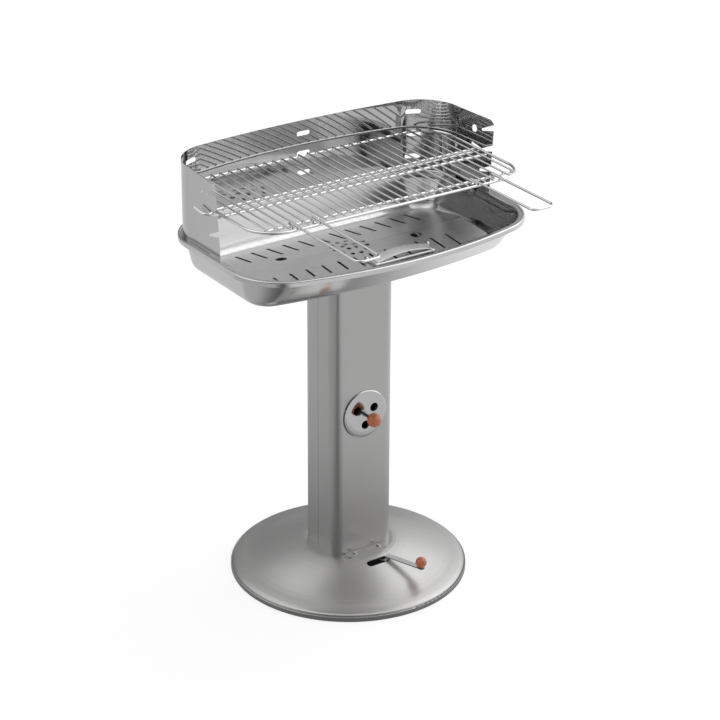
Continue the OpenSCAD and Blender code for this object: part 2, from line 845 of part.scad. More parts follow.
module vent_knob() {
    color(wood)
        vent_frame()
            difference() {
                translate([0, 0, vent_ball_out])
                    sphere(r = vent_ball_r, $fn = 48);
                cylinder(r = vent_ball_r, h = vent_ball_flat);
                cylinder(r = vent_screw_r + vent_shaft_gap, h = vent_ball_out);
            }
}

vent_washer_h = 3 * seat_gap + col_wall;
vent_head_h = vent_screw_r;
vent_screw_end = vent_ball_out - vent_screw_r;
vent_head_z = -col_wall - seat_gap - vent_washer_h;
module vent_screw() {
    color(steel)
        vent_frame() {
            translate([0, 0, vent_head_z - vent_head_h])
                cylinder(r = 2 * vent_screw_r, h = vent_head_h);
            translate([0, 0, vent_head_z - vent_head_h / 2])
                cylinder(r = vent_screw_r, h = vent_screw_end - vent_head_z + vent_head_h / 2);
        }
}

// dished washer that presses the disc to the column
vent_washer_r = 3.4 * vent_screw_r;
module vent_spring_washer() {
    color(dark_steel)
        vent_frame()
            translate([0, 0, vent_head_z])
                difference() {
                    cylinder(r1 = 2 * vent_screw_r, r2 = vent_washer_r, h = vent_washer_h);
                    translate([0, 0, vent_washer_h / 2])
                        cylinder(r1 = vent_screw_r, r2 = vent_washer_r - vent_washer_h / 4, h = vent_washer_h / 2 + over / 4);
                    translate([0, 0, -over])
                        cylinder(r = vent_screw_r + vent_shaft_gap, h = vent_washer_h + 2 * over);
                }
}

// Bowl
rim_z = bowl_z + bowl_h;
floor_z = bowl_z + bowl_wall;
rim_outline = [bowl_len / 2, bowl_front, bowl_rear, bowl_front_bow, bowl_rear_bow, bowl_corner];
wall_top = inset(rim_outline, rim_w);
wall_foot = [bottom_len / 2, bottom_front, bottom_rear, bottom_front_bow, bottom_rear_bow, bottom_corner];
function wall_at(z) = blend(wall_foot, wall_top, (z - bowl_z) / bowl_h);
round_steps = 4;
inner_round = bottom_round - bowl_wall;
bowl_rings = concat(
    [for (i = [0:round_steps]) let (t = 90 * i / round_steps, z = bowl_z + bottom_round * (1 - cos(t)))
        level(inset(wall_at(z), bottom_round * (1 - sin(t))), z)],
    [level(wall_top, rim_z - bowl_wall),
     level(inset(rim_outline, bead_w), rim_z - bowl_wall),
     level(inset(rim_outline, 2 * bowl_wall), rim_z - 2 * bowl_wall),
     level(inset(rim_outline, bowl_wall), rim_z - rim_drop),
     level(rim_outline, rim_z - rim_drop),
     level(rim_outline, rim_z - bowl_wall),
     level(inset(rim_outline, bead_w * 0.1), rim_z + bead_h * 0.2),
     level(inset(rim_outline, bead_w * 0.3), rim_z + bead_h * 0.85),
     level(inset(rim_outline, bead_w * 0.55), rim_z + bead_h),
     level(inset(rim_outline, bead_w * 0.85), rim_z + bead_h * 0.6),
     level(inset(rim_outline, bead_w), rim_z),
     level(inset(wall_top, bowl_wall), rim_z)],
    [for (i = [round_steps:-1:0]) let (t = 90 * i / round_steps, z = floor_z + inner_round * (1 - cos(t)))
        level(inset(wall_at(z), bowl_wall + inner_round * (1 - sin(t))), z)]);

// slope of the bowl's end walls
end_slope = atan((wall_top[0] - wall_foot[0]) / bowl_h);
module on_end_walls() {
    for (s = [-1, 1])
        scale([s, 1, 1])
            translate([screen_side_x - bowl_wall, tongue_y, rim_z])
                rotate([0, end_slope, 0])
                    children();
}

module screen_screw_places() {
    on_end_walls()
        for (t = [-1, 1])
            translate([0, t * screen_screw_gap / 2, -tongue_l * 0.62])
                rotate([0, 90, 0])
                    children();
}

module bowl() {
    color(steel)
        difference() {
            loft(bowl_rings);
            translate([0, 0, bowl_z - over])
                linear_extrude(bowl_wall + 2 * over)
                    collar_opening_2d();
            bolt_places()
                translate([0, 0, -over])
                    cylinder(r = bolt_r + hole_gap, h = bowl_wall + 2 * over);
            screen_screw_places()
                translate([0, 0, -over])
                    cylinder(r = screen_screw_r + hole_gap, h = bowl_wall + 2 * over);
        }
}

module bowl_bolts() {
    color(steel)
        bolt_places() {
            translate([0, 0, bowl_wall])
                cylinder(r = bolt_head_r, h = bolt_head_h, $fn = 6);
            translate([0, 0, -foot_t - bolt_head_h - over])
                cylinder(r = bolt_r, h = foot_t + bolt_head_h + over + bowl_wall + bolt_head_h / 2);
        }
}

module bowl_nuts() {
    color(steel)
        bolt_places()
            translate([0, 0, -foot_t - bolt_head_h])
                difference() {
                    cylinder(r = bolt_head_r, h = bolt_head_h, $fn = 6);
                    translate([0, 0, -over])
                        cylinder(r = bolt_r + run_gap, h = bolt_head_h + 2 * over);
                }
}

// Windscreen
screen_foot = [screen_side_x, wall_top[1], wall_top[2], wall_top[3], wall_top[4], screen_corner];
screen_steps = 8;
screen_bow_steps = 14;
// path of one edge: height, outward lean of the front ends, inset
function screen_path(lean, d) =
    let (o = screen_foot, x = corner_x(o), c = o[5] - d,
         y = corner_y(o, o[2], o[4]), a = bow_angle(o, o[4]))
    concat(
        [[o[0] + lean - d, -screen_front]],
        [for (i = [0:screen_steps]) let (t = (90 - a) * i / screen_steps)
            [x + c * cos(t), y + c * sin(t)]],
        [for (i = [1:screen_bow_steps - 1]) let (t = a - 2 * a * i / screen_bow_steps)
            [(o[4] - d) * sin(t), o[2] - o[4] + (o[4] - d) * cos(t)]],
        [for (i = [0:screen_steps]) let (t = 90 + a + (90 - a) * i / screen_steps)
            [-x + c * cos(t), y + c * sin(t)]],
        [[-o[0] - lean + d, -screen_front]]);
screen_top_z = rim_z + screen_h;
module screen_sheet() {
    low_out = screen_path(0, 0);
    low_in = screen_path(0, screen_t);
    top_out = screen_path(screen_lean, 0);
    top_in = screen_path(screen_lean, screen_t);
    loft([for (i = [0:len(low_out) - 1])
        [[low_out[i][0], low_out[i][1], rim_z],
         [low_in[i][0], low_in[i][1], rim_z],
         [top_in[i][0], top_in[i][1], screen_top_z],
         [top_out[i][0], top_out[i][1], screen_top_z]]], true);
}

// a Y-Z outline cut along X through both side panels
module side_cut() {
    translate([-bowl_len / 2, 0, 0])
        rotate([90, 0, 90])
            linear_extrude(bowl_len)
                children();
}

support_z = rim_z + screen_h * support_share;
seat_r = frame_wire_r + seat_gap;
seat_floor_z = support_z - seat_r;
function seat_arc(y, z, from, to) =
    [for (i = [0:8]) let (t = from + (to - from) * i / 8) [y + seat_r * cos(t), z + seat_r * sin(t)]];
// section of a notch whose seat is centred at height z, with or without the lock slot behind it
module notch_2d(z, lock) {
    tilt = atan(lock_rise / lock_len);
    polygon(concat(
        [[-screen_front - over, z - seat_r + notch_fall]],
        lock
            ? concat(seat_arc(support_y, z, -100, tilt - 90),
                     seat_arc(support_y + lock_len, z + lock_rise, tilt - 89, tilt + 89),
                     seat_arc(support_y, z, tilt + 90, 104))
            : seat_arc(support_y, z, -100, 104),
        [[-screen_front - over, z - seat_r + notch_fall + notch_mouth]]));
}

module back_slot(x, z) {
    translate([x, 0, z])
        rotate([-90, 0, 0])
            linear_extrude(bowl_rear)
                slot_2d(back_slot_len, back_slot_w);
}

tip_z = screen_top_z - screen_tip;
tip_y = screen_tip - screen_front;
module windscreen() {
    color(bright)
        difference() {
            union() {
                screen_sheet();
                on_end_walls()
                    translate([-screen_t - hole_gap, -tongue_w / 2, -tongue_l])
                        cube([screen_t, tongue_w, tongue_l + 3 * screen_t]);
            }
            side_cut() {
                for (i = [-1, 0, 1])
                    notch_2d(support_z + i * notch_pitch, i == 0);
                polygon(concat(
                    [[-screen_front - over, screen_top_z + over]],
                    [for (i = [0:8]) let (t = 182 - 94 * i / 8)
                        [tip_y + screen_tip * cos(t), tip_z + screen_tip * sin(t)]],
                    [[tip_y, screen_top_z + over]]));
            }
            translate([0, hang_y, screen_top_z - hang_down])
                rotate([0, 90, 0]) {
                    cylinder(r = hang_r, h = bowl_len / 2);
                    translate([0, 0, -bowl_len / 2])
                        cylinder(r = hang_r / 2, h = bowl_len / 2);
                }
            for (i = [-1, 0, 1]) {
                back_slot(back_slot_shift, support_z + i * back_slot_pitch);
                for (s = [-1, 1])
                    back_slot(s * side_slot_x, support_z - side_slot_drop + i * side_slot_pitch);
            }
            screen_screw_places()
                translate([0, 0, -bottom_round])
                    cylinder(r = screen_screw_r + hole_gap, h = bottom_round + over);
            // the corners clear the bead of the rim
            translate([0, 0, rim_z - over])
                linear_extrude(over + bead_h + seat_gap)
                    difference() {
                        polygon(outline(inset(rim_outline, -over)));
                        polygon(outline(inset(rim_outline, bead_w + seat_gap)));
                    }
        }
}

// distance of the nuts from the inner side of the bowl's wall
screen_nut_seat = bowl_wall + seat_gap + hole_gap;
module windscreen_screws() {
    color(steel)
        screen_screw_places() {
            translate([0, 0, -hole_gap - screen_t - screen_head_h])
                cylinder(r = screen_head_r, h = screen_head_h);
            translate([0, 0, -hole_gap - screen_t - screen_head_h / 2])
                cylinder(r = screen_screw_r, h = hole_gap + screen_t + screen_head_h / 2 + screen_nut_seat + screen_nut_h + over);
        }
}

module windscreen_nuts() {
    color(steel)
        screen_screw_places()
            translate([0, 0, screen_nut_seat])
                difference() {
                    cylinder(r = screen_head_r, h = screen_nut_h, $fn = 6);
                    translate([0, 0, -over])
                        cylinder(r = screen_screw_r + run_gap, h = screen_nut_h + 2 * over);
                }
}

// Charcoal plate
coal_outline = [coal_len / 2, coal_front, coal_rear, bottom_front_bow, bottom_rear_bow, coal_corner];
coal_rear_z = floor_z + coal_rest_h + coal_t;
coal_ridge_z = floor_z + coal_ridge_h;
coal_front_z = floor_z + coal_front_h;
// slope of the front half
coal_slope = (coal_ridge_z - coal_front_z) / (coal_front - coal_ridge_y);
function coal_z(y) = y < -coal_ridge_y
    ? coal_ridge_z + (y + coal_ridge_y) * coal_slope
    : coal_ridge_z - (y + coal_ridge_y) * (coal_ridge_z - coal_rear_z) / (coal_rear + coal_ridge_y);
coal_leg_x = coal_len * 0.3;
coal_leg_y = -coal_front * 0.8;
// growth of the front slots from the left to the right end, as a share of their length
slot_growth_share = 0.8;
function coal_slot_x(i, count) = (i - (count - 1) / 2) * coal_pitch;
module coal_slots_2d() {
    for (i = [0:coal_rear_slots - 1])
        translate([coal_slot_x(i, coal_rear_slots) + coal_rear_shift, coal_slot_y])
            rotate(90)
                slot_2d(coal_slot_len, coal_slot_w);
    for (i = [0:coal_front_slots - 1])
        let (x = coal_slot_x(i, coal_front_slots) - coal_front_shift,
             l = front_slot_len * (1 + slot_growth_share * x / coal_len))
        translate([x, -front_slot_y - l / 2])
            rotate(90)
                slot_2d(l, coal_slot_w);
}

// number of inner and outer small holes, and place of the large holes as shares of
// the plate's length and of their own radius
inner_holes = 5;
outer_holes = 12;
big_hole_shares = [0.263, 2];
module coal_hole_ring(count, reach) {
    for (i = [0:count - 1])
        rotate((i + 0.25) * 360 / count)
            translate([reach, 0])
                circle(r = coal_hole_r, $fn = 16);
}

module coal_holes_2d() {
    coal_hole_ring(inner_holes, inner_holes_r);
    coal_hole_ring(outer_holes, outer_holes_r);
    for (s = [-1, 1])
        translate([s * coal_len * big_hole_shares[0], -s * coal_big_r * big_hole_shares[1]])
            circle(r = coal_big_r, $fn = 32);
}

module charcoal_plate() {
    color(satin_grey)
        difference() {
            union() {
                intersection() {
                    translate([-coal_len / 2, 0, 0])
                        rotate([90, 0, 90])
                            linear_extrude(coal_len)
                                polygon([
                                    [-coal_front, coal_front_z], [-coal_ridge_y, coal_ridge_z],
                                    [coal_rear, coal_rear_z], [coal_rear, coal_rear_z - coal_t],
                                    [-coal_ridge_y, coal_ridge_z - coal_t], [-coal_front, coal_front_z - coal_t]]);
                    translate([0, 0, bowl_z])
                        linear_extrude(bowl_h)
                            polygon(outline(coal_outline));
                }
                for (s = [-1, 1])
                    translate([s * coal_leg_x - coal_leg_w / 2, coal_leg_y, floor_z + seat_gap])
                        cube([coal_leg_w, coal_t, coal_z(coal_leg_y) - floor_z - seat_gap - coal_t / 2]);
            }
            translate([0, 0, bowl_z])
                linear_extrude(bowl_h) {
                    coal_slots_2d();
                    coal_holes_2d();
                }
        }
}

// frame of the plate's handle: on the sloping front half, at the pivot axis
module bail_place() {
    translate([bail_x, -bail_pivot_y, coal_z(-bail_pivot_y)])
        rotate([atan(coal_slope), 0, 0])
            translate([0, 0, bail_lift])
                children();
}

lug_w = 3;
lug_l = 5 * bail_wire_r;
lug_x = bail_w / 2 + bail_wire_r + lug_w / 2 + seat_gap;
module plate_handle_lugs() {
    color(steel)
        bail_place()
            for (s = [-1, 1])
                translate([s * lug_x, 0, 0])
                    difference() {
                        union() {
                            rotate([0, 90, 0])
                                cylinder(d = lug_l, h = lug_w, center = true);
                            translate([-lug_w / 2, -lug_l / 2, -bail_lift])
                                cube([lug_w, lug_l, bail_lift]);
                        }
                        rotate([0, 90, 0])
                            cylinder(r = bail_wire_r + run_gap, h = 2 * lug_w, center = true);
                        translate([-lug_w, -lug_l, -bail_lift - lug_l])
                            cube([2 * lug_w, 2 * lug_l, lug_l]);
                    }
}

stub_l = bail_wire_r + lug_w + 2 * seat_gap + bail_wire_r;
module plate_handle_wire() {
    color(bright)
        bail_place() {
            for (s = [-1, 1]) {
                translate([s * bail_w / 2, 0, 0]) {
                    rotate([90, 0, 0])
                        cylinder(r = bail_wire_r, h = bail_reach, $fn = wire_fn);
                    rotate([0, s * 90, 0])
                        cylinder(r = bail_wire_r, h = stub_l);
                    sphere(r = bail_wire_r, $fn = wire_fn);
                }
                translate([s * bail_w / 2, -bail_reach, 0])
                    sphere(r = bail_wire_r, $fn = wire_fn);
            }
            translate([-bail_w / 2, -bail_reach, 0])
                rotate([0, 90, 0])
                    cylinder(r = bail_wire_r, h = bail_w, $fn = wire_fn);
        }
}

grip_len = bail_w - 2 * grip_end_gap;
grip_radius = (pow(grip_len / 2, 2) + pow(grip_rise, 2)) / (2 * grip_rise);
module plate_handle_grip() {
    color(bright)
        bail_place()
            translate([0, -bail_reach + grip_w - bail_wire_r, bail_wire_r + hole_gap])
                rotate([90, 0, 0])
                    linear_extrude(grip_w)
                        intersection() {
                            translate([-grip_len / 2, 0])
                                square([grip_len, 2 * grip_rise]);
                            translate([0, grip_rise - grip_radius])
                                difference() {
                                    circle(r = grip_radius + grip_t, $fn = 180);
                                    circle(r = grip_radius, $fn = 180);
                                }
                        }
}

// Cooking grid
wire_z = support_z + 2 * frame_wire_r + hole_gap;
bar_z = wire_z + frame_wire_r + hole_gap + bar_r;
grid_mid_y = (grid_rear - grid_front) / 2;
grid_depth = grid_rear + grid_front;
module wire_x(half, y, z, r) {
    translate([-half, y, z])
        rotate([0, 90, 0])
            cylinder(r = r, h = 2 * half, $fn = wire_fn);
}

module grid_frame() {
    color(bright)
        translate([0, grid_mid_y, wire_z]) {
            for (s = [-1, 1]) {
                wire_x(grid_half - grid_corner, s * grid_depth / 2, 0, frame_wire_r);
                translate([s * grid_half, -grid_depth / 2 + grid_corner, 0])
                    rotate([-90, 0, 0])
                        cylinder(r = frame_wire_r, h = grid_depth - 2 * grid_corner, $fn = wire_fn);
            }
            for (a = [0:3])
                rotate([0, 0, a * 90])
                    translate(a % 2 == 0
                        ? [grid_half - grid_corner, grid_depth / 2 - grid_corner, 0]
                        : [grid_depth / 2 - grid_corner, grid_half - grid_corner, 0])
                        rotate_extrude(angle = 90, $fn = $fn)
                            translate([grid_corner, 0])
                                circle(r = frame_wire_r, $fn = wire_fn);
        }
}

// shortening of a bar that ends on a rounded corner
function bar_short(x) = abs(x) > grid_half - grid_corner
    ? grid_corner - sqrt(pow(grid_corner, 2) - pow(abs(x) - grid_half + grid_corner, 2))
    : 0;
module grid_bars() {
    color(bright)
        for (i = [-bar_side_count:bar_side_count])
            let (x = i * bar_pitch, cut = bar_short(x))
            translate([x, -grid_front + cut, bar_z])
                rotate([-90, 0, 0])
                    cylinder(r = bar_r, h = grid_depth - 2 * cut, $fn = 16);
}

hinge_y = -grid_front + hinge_back;
// inner half width of the frame beside a cross wire at y
function frame_inner(y) = let (dy = -grid_front + grid_corner - y + frame_wire_r)
    grid_half - grid_corner - hole_gap + sqrt(pow(grid_corner - frame_wire_r, 2) - pow(max(dy, 0), 2));
module grid_cross_wires() {
    color(bright) {
        wire_x(frame_inner(hinge_y), hinge_y, wire_z, frame_wire_r);
        wire_x(frame_inner(support_y), support_y, wire_z, frame_wire_r);
        wire_x(steady_half, -steady_y, support_z, frame_wire_r);
    }
}

module grid_support_wire() {
    color(bright) {
        wire_x(support_half - support_bend, support_y, support_z, frame_wire_r);
        for (s = [-1, 1])
            scale([s, 1, 1])
                translate([support_half - support_bend, support_y, support_z])
                    rotate([hook_rise, 0, 0]) {
                        translate([0, support_bend, 0])
                            rotate([0, 0, -90])
                                rotate_extrude(angle = 90)
                                    translate([support_bend, 0])
                                        circle(r = frame_wire_r, $fn = wire_fn);
                        translate([support_bend, support_bend, 0])
                            rotate([-90, 0, 0])
                                cylinder(r = frame_wire_r, h = hook_len, $fn = wire_fn);
                    }
    }
}

// Grid handles
// the legs stand a quarter pitch beside the bars: two and a half pitches apart
handle_gap = 2.5 * bar_pitch;
handle_right_x = 10.5 * bar_pitch;
handle_left_x = -10 * bar_pitch;
eye_r = frame_wire_r + seat_gap + handle_wire_r;
// how far the hooked ends go round their wire
eye_turn = 250;
module grid_handle(reach) {
    leg_l = reach - handle_corner;
    translate([0, hinge_y, wire_z]) {
        for (s = [-1, 1])
            translate([s * handle_gap / 2, 0, 0]) {
                rotate([0, -90, 0])
                    rotate_extrude(angle = eye_turn, $fn = 32)
                        translate([eye_r, 0])
                            circle(r = handle_wire_r, $fn = wire_fn);
                translate([0, 0, eye_r])
                    rotate([90, 0, 0])
                        cylinder(r = handle_wire_r, h = leg_l, $fn = wire_fn);
            }
        translate([0, -leg_l, eye_r]) {
            for (s = [-1, 1])
                translate([s * (handle_gap / 2 - handle_corner), 0, 0])
                    rotate([0, 0, s > 0 ? -90 : 180])
                        rotate_extrude(angle = 90)
                            translate([handle_corner, 0])
                                circle(r = handle_wire_r, $fn = wire_fn);
            translate([-handle_gap / 2 + handle_corner, -handle_corner, 0])
                rotate([0, 90, 0])
                    cylinder(r = handle_wire_r, h = handle_gap - 2 * handle_corner, $fn = wire_fn);
        }
    }
}

module grid_handle_left() {
    color(bright)
        translate([handle_left_x, 0, 0])
            grid_handle(handle_left_reach);
}

module grid_handle_right() {
    color(bright)
        translate([handle_right_x, 0, 0])
            grid_handle(handle_right_reach);
}

base_plate();
base_trim_ring();
ash_pan();
foot_bracket_front();
foot_bracket_rear();
foot_screws();
foot_nuts();
damper_pivot();
damper_lever();
damper_plate();
damper_knob();
damper_knob_screw();
column_front_shell();
column_rear_shell();
column_collar();
vent_disc();
vent_sleeve();
vent_knob();
vent_screw();
vent_spring_washer();
bowl();
bowl_bolts();
bowl_nuts();
windscreen();
windscreen_screws();
windscreen_nuts();
charcoal_plate();
plate_handle_lugs();
plate_handle_wire();
plate_handle_grip();
grid_frame();
grid_bars();
grid_cross_wires();
grid_support_wire();
grid_handle_left();
grid_handle_right();
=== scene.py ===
"""Charcoal grill on a column: materials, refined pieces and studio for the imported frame.

Lengths of the refined pieces are in millimetres, as in the CAD source. Everything else is in metres.
"""
import json
import math
from collections import namedtuple

import bpy
from mathutils import Matrix, Vector
from mathutils.geometry import delaunay_2d_cdt


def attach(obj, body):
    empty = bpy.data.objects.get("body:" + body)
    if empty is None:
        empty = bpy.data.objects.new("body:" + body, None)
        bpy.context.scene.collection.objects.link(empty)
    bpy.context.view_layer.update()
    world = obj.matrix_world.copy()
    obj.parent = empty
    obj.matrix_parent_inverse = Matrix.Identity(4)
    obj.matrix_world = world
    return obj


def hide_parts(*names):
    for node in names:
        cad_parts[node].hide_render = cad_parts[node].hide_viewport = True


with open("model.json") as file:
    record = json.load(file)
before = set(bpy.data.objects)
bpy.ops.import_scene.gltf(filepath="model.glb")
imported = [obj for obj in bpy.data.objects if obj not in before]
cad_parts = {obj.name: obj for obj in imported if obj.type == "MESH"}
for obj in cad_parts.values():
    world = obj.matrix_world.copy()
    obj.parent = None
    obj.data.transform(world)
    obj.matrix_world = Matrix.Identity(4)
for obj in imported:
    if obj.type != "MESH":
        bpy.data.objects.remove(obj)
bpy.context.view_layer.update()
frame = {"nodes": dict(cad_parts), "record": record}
NODES = frame["nodes"]
MM = 0.001
QUARTER = math.pi / 2


# node trees
def link(tree, output, target):
    tree.links.new(output, target)


def add(tree, kind, **values):
    """A new node, with each value set on the input of that name or else on the node."""
    node = tree.nodes.new(kind)
    for key, value in values.items():
        if key in node.inputs:
            node.inputs[key].default_value = value
        else:
            setattr(node, key, value)
    return node


def new_material(name):
    mat = bpy.data.materials.new(name)
    mat.use_nodes = True
    tree = mat.node_tree
    tree.nodes.clear()
    out = add(tree, "ShaderNodeOutputMaterial")
    shader = add(tree, "ShaderNodeBsdfPrincipled")
    link(tree, shader.outputs["BSDF"], out.inputs["Surface"])
    return mat, tree, shader


def noise(tree, scale, detail, rough, distortion=0.0):
    """Noise in the object's space, with its own scale along each axis."""
    coord = add(tree, "ShaderNodeTexCoord")
    mapping = add(tree, "ShaderNodeMapping")
    mapping.inputs["Scale"].default_value = scale
    link(tree, coord.outputs["Object"], mapping.inputs["Vector"])
    tex = add(tree, "ShaderNodeTexNoise", Scale=1.0, Detail=detail, Roughness=rough, Distortion=distortion)
    link(tree, mapping.outputs["Vector"], tex.inputs["Vector"])
    return tex.outputs["Fac"]


def map_range(tree, value, source, result, **values):
    node = add(tree, "ShaderNodeMapRange", **values)
    for key, number in zip(("From Min", "From Max", "To Min", "To Max"), (*source, *result)):
        node.inputs[key].default_value = number
    link(tree, value, node.inputs["Value"])
    return node.outputs["Result"]


def spread_noise(tree, value, low, high):
    """The noise's middle range, stretched to run from low to high."""
    return map_range(tree, value, (0.3, 0.7), (low, high))


# sockets of the mix node that hold colours
MIX_ONE, MIX_TWO, MIX_RESULT = 6, 7, 2


def mix_colour(tree, share, one, two):
    node = add(tree, "ShaderNodeMix", data_type="RGBA")
    link(tree, share, node.inputs["Factor"])
    node.inputs[MIX_ONE].default_value = (*one, 1)
    node.inputs[MIX_TWO].default_value = (*two, 1)
    return node.outputs[MIX_RESULT]


def bump(tree, shader, height, strength, distance):
    node = add(tree, "ShaderNodeBump", Strength=strength, Distance=distance)
    link(tree, height, node.inputs["Height"])
    link(tree, node.outputs["Normal"], shader.inputs["Normal"])


# metals: two tones, warmth, roughness and its spread, grain scale, grain depth in metres, metallic
METALS = {
    "satin_grey_metal": (0.47, 0.50, 0.004, 0.32, 0.03, (900, 900, 900), 0.000004, 0.75),
    "satin_steel": (0.58, 0.62, 0.0, 0.15, 0.02, (6, 900, 900), 0.000003, 1.0),
    "coal_steel": (0.55, 0.59, 0.0, 0.30, 0.03, (6, 900, 900), 0.000004, 1.0),
    "polished_steel": (0.49, 0.52, 0.0, 0.05, 0.01, (8, 8, 300), 0.0, 1.0),
    "chromed_wire": (0.70, 0.76, 0.0, 0.08, 0.02, (60, 60, 60), 0.0, 1.0),
    "zinc_steel": (0.55, 0.62, 0.0, 0.22, 0.05, (300, 300, 300), 0.0, 1.0),
    # grip strip: its pale tone and half metallic look are partly its satin sheet and partly painted sheen
    # for the light it reflects from above
    "pale_strip_painted_sheen": (0.84, 0.90, 0.0, 0.34, 0.04, (4, 600, 600), 0.000005, 0.5),
    "dark_steel": (0.16, 0.22, 0.0, 0.38, 0.08, (200, 200, 200), 0.00002, 1.0),
}
DRIFT_SCALE = (6, 6, 6)
GRAIN_STRENGTH = 0.35


def grey(value, warmth):
    return (value + warmth, value, value - warmth)


def metal(name, dark, light, warmth, rough, spread, grain, grain_depth, metallic):
    """Sheet or wire: colour drifts between two tones, and grain shows in roughness and bump."""
    mat, tree, shader = new_material(name)
    shader.inputs["Metallic"].default_value = metallic
    drift = spread_noise(tree, noise(tree, DRIFT_SCALE, 4.0, 0.55), 0, 1)
    tone = mix_colour(tree, drift, grey(dark, warmth), grey(light, warmth))
    link(tree, tone, shader.inputs["Base Color"])
    streak = noise(tree, grain, 2.0, 0.6)
    link(tree, spread_noise(tree, streak, rough - spread, rough + spread), shader.inputs["Roughness"])
    if grain_depth:
        bump(tree, shader, streak, GRAIN_STRENGTH, grain_depth)
    return mat


WOOD_GRAIN = (260, 60, 260)
WOOD_LIGHT = (0.76, 0.25, 0.11)
WOOD_DARK = (0.54, 0.145, 0.055)
WOOD_PORE_DEPTH = 0.0001


def wood():
    """Stained and varnished wood of the balls."""
    mat, tree, shader = new_material("wood")
    grain = noise(tree, WOOD_GRAIN, 5.0, 0.6, distortion=0.6)
    stain = mix_colour(tree, spread_noise(tree, grain, 0, 1), WOOD_LIGHT, WOOD_DARK)
    link(tree, stain, shader.inputs["Base Color"])
    shader.inputs["Roughness"].default_value = 0.28
    shader.inputs["Coat Weight"].default_value = 0.5
    shader.inputs["Coat Roughness"].default_value = 0.12
    bump(tree, shader, grain, 0.2, WOOD_PORE_DEPTH)
    return mat


MATS = {name: metal(name, *values) for name, values in METALS.items()}
MATS["wood"] = wood()


def dress(obj, mat):
    obj.data.materials.clear()
    obj.data.materials.append(mat)


for part in frame["record"]["subparts"]:
    dress(NODES[part["node"]], MATS[part["material_slot"]])
dress(NODES["charcoal_plate"], MATS["coal_steel"])


# outlines: bows in front and behind, joined by round corners; front and rear are distances
Outline = namedtuple("Outline", "half_length front rear front_bow rear_bow corner")
CORNER_N = 28
BOW_N = 40


def inset(outline, depth):
    return Outline(*(value - depth for value in outline))


def between(low, high, share):
    return Outline(*(a + (b - a) * share for a, b in zip(low, high)))


def bow_angle(outline, bow):
    """Half of the angle that a bow spans."""
    return math.asin((outline.half_length - outline.corner) / (bow - outline.corner))


def corner_y(outline, reach, bow):
    """Distance of a corner's centre from the middle, on the side of a bow."""
    side = outline.half_length - outline.corner
    return reach - bow + math.sqrt((bow - outline.corner) ** 2 - side ** 2)


def outline_points(outline):
    """Points along the outline, from its right side over the rear and back round the front."""
    _, front, rear, front_bow, rear_bow, radius = outline
    corner_x = outline.half_length - radius
    rear_y = corner_y(outline, rear, rear_bow)
    front_y = corner_y(outline, front, front_bow)
    rear_angle = bow_angle(outline, rear_bow)
    front_angle = bow_angle(outline, front_bow)
    points = []

    def corner(side, y, start, turn):
        for i in range(CORNER_N + 1):
            t = start + turn * i / CORNER_N
            points.append((side * corner_x + radius * math.cos(t), y + radius * math.sin(t)))

    corner(1, rear_y, 0, QUARTER - rear_angle)
    for i in range(1, BOW_N):
        t = rear_angle - 2 * rear_angle * i / BOW_N
        points.append((rear_bow * math.sin(t), rear - rear_bow + rear_bow * math.cos(t)))
    corner(-1, rear_y, QUARTER + rear_angle, QUARTER - rear_angle)
    corner(-1, -front_y, math.pi, QUARTER - front_angle)
    for i in range(1, BOW_N):
        t = -front_angle + 2 * front_angle * i / BOW_N
        points.append((front_bow * math.sin(t), -(front - front_bow + front_bow * math.cos(t))))
    corner(1, -front_y, 3 * QUARTER + front_angle, QUARTER - front_angle)
    return points


def mesh_object(name, verts, faces, body, mat, smooth_angle=None):
    """A new piece from points in millimetres, which rides on a body."""
    data = bpy.data.meshes.new(name)
    data.from_pydata([(x * MM, y * MM, z * MM) for x, y, z in verts], [], faces)
    data.validate()
    obj = bpy.data.objects.new(name, data)
    bpy.context.scene.collection.objects.link(obj)
    dress(obj, mat)
    if smooth_angle is not None:
        for polygon in data.polygons:
            polygon.use_smooth = True
        data.set_sharp_from_angle(angle=math.radians(smooth_angle))
    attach(obj, body)
    return obj


# fire bowl
WALL = 1.2
BOWL_Z = 624.0
BOWL_H = 76.0
RIM_Z = BOWL_Z + BOWL_H
RIM_W = 12.0
RIM_DROP = 8.0
RIM = Outline(300.0, 217.0, 177.0, 861.0, 2200.0, 101.0)
WALL_TOP = inset(RIM, RIM_W)
WALL_FOOT = Outline(263.5, 136.0, 143.0, 1320.0, 3400.0, 45.0)
FOOT_ROUND = 22.0
FOOT_N = 10
# mouth over the column: half width, half depth and corner radius
MOUTH = (50.7, 37.15, 16.1)
# raised bead along the rim: its width and rise, and how its outer edge rounds down
BEAD_W = 6.0
BEAD_H = 1.2
BEAD_EDGE_W = 1.6
BEAD_EDGE_FALL = WALL - 0.2
BEAD_N = 14
# rings of the rim as (distance from its edge, depth under its top), outside and inside of the bead
RIM_OUTSIDE = [
    (RIM_W, WALL + 1.5),
    (RIM_W - 0.5, WALL + 0.4),
    (RIM_W - 1.6, WALL),
    (BEAD_W, WALL),
    (2 * WALL, 2 * WALL),
    (WALL, RIM_DROP),
    (0, RIM_DROP),
    (0, WALL + 1.0),
]
RIM_INSIDE = [
    (RIM_W - 1.4, 0),
    (RIM_W - 0.1, 0.3),
    (RIM_W + WALL, 1.7),
]


def wall_at(z):
    return between(WALL_FOOT, WALL_TOP, (z - BOWL_Z) / BOWL_H)


def ring(outline, z):
    return [(x, y, z) for x, y in outline_points(outline)]


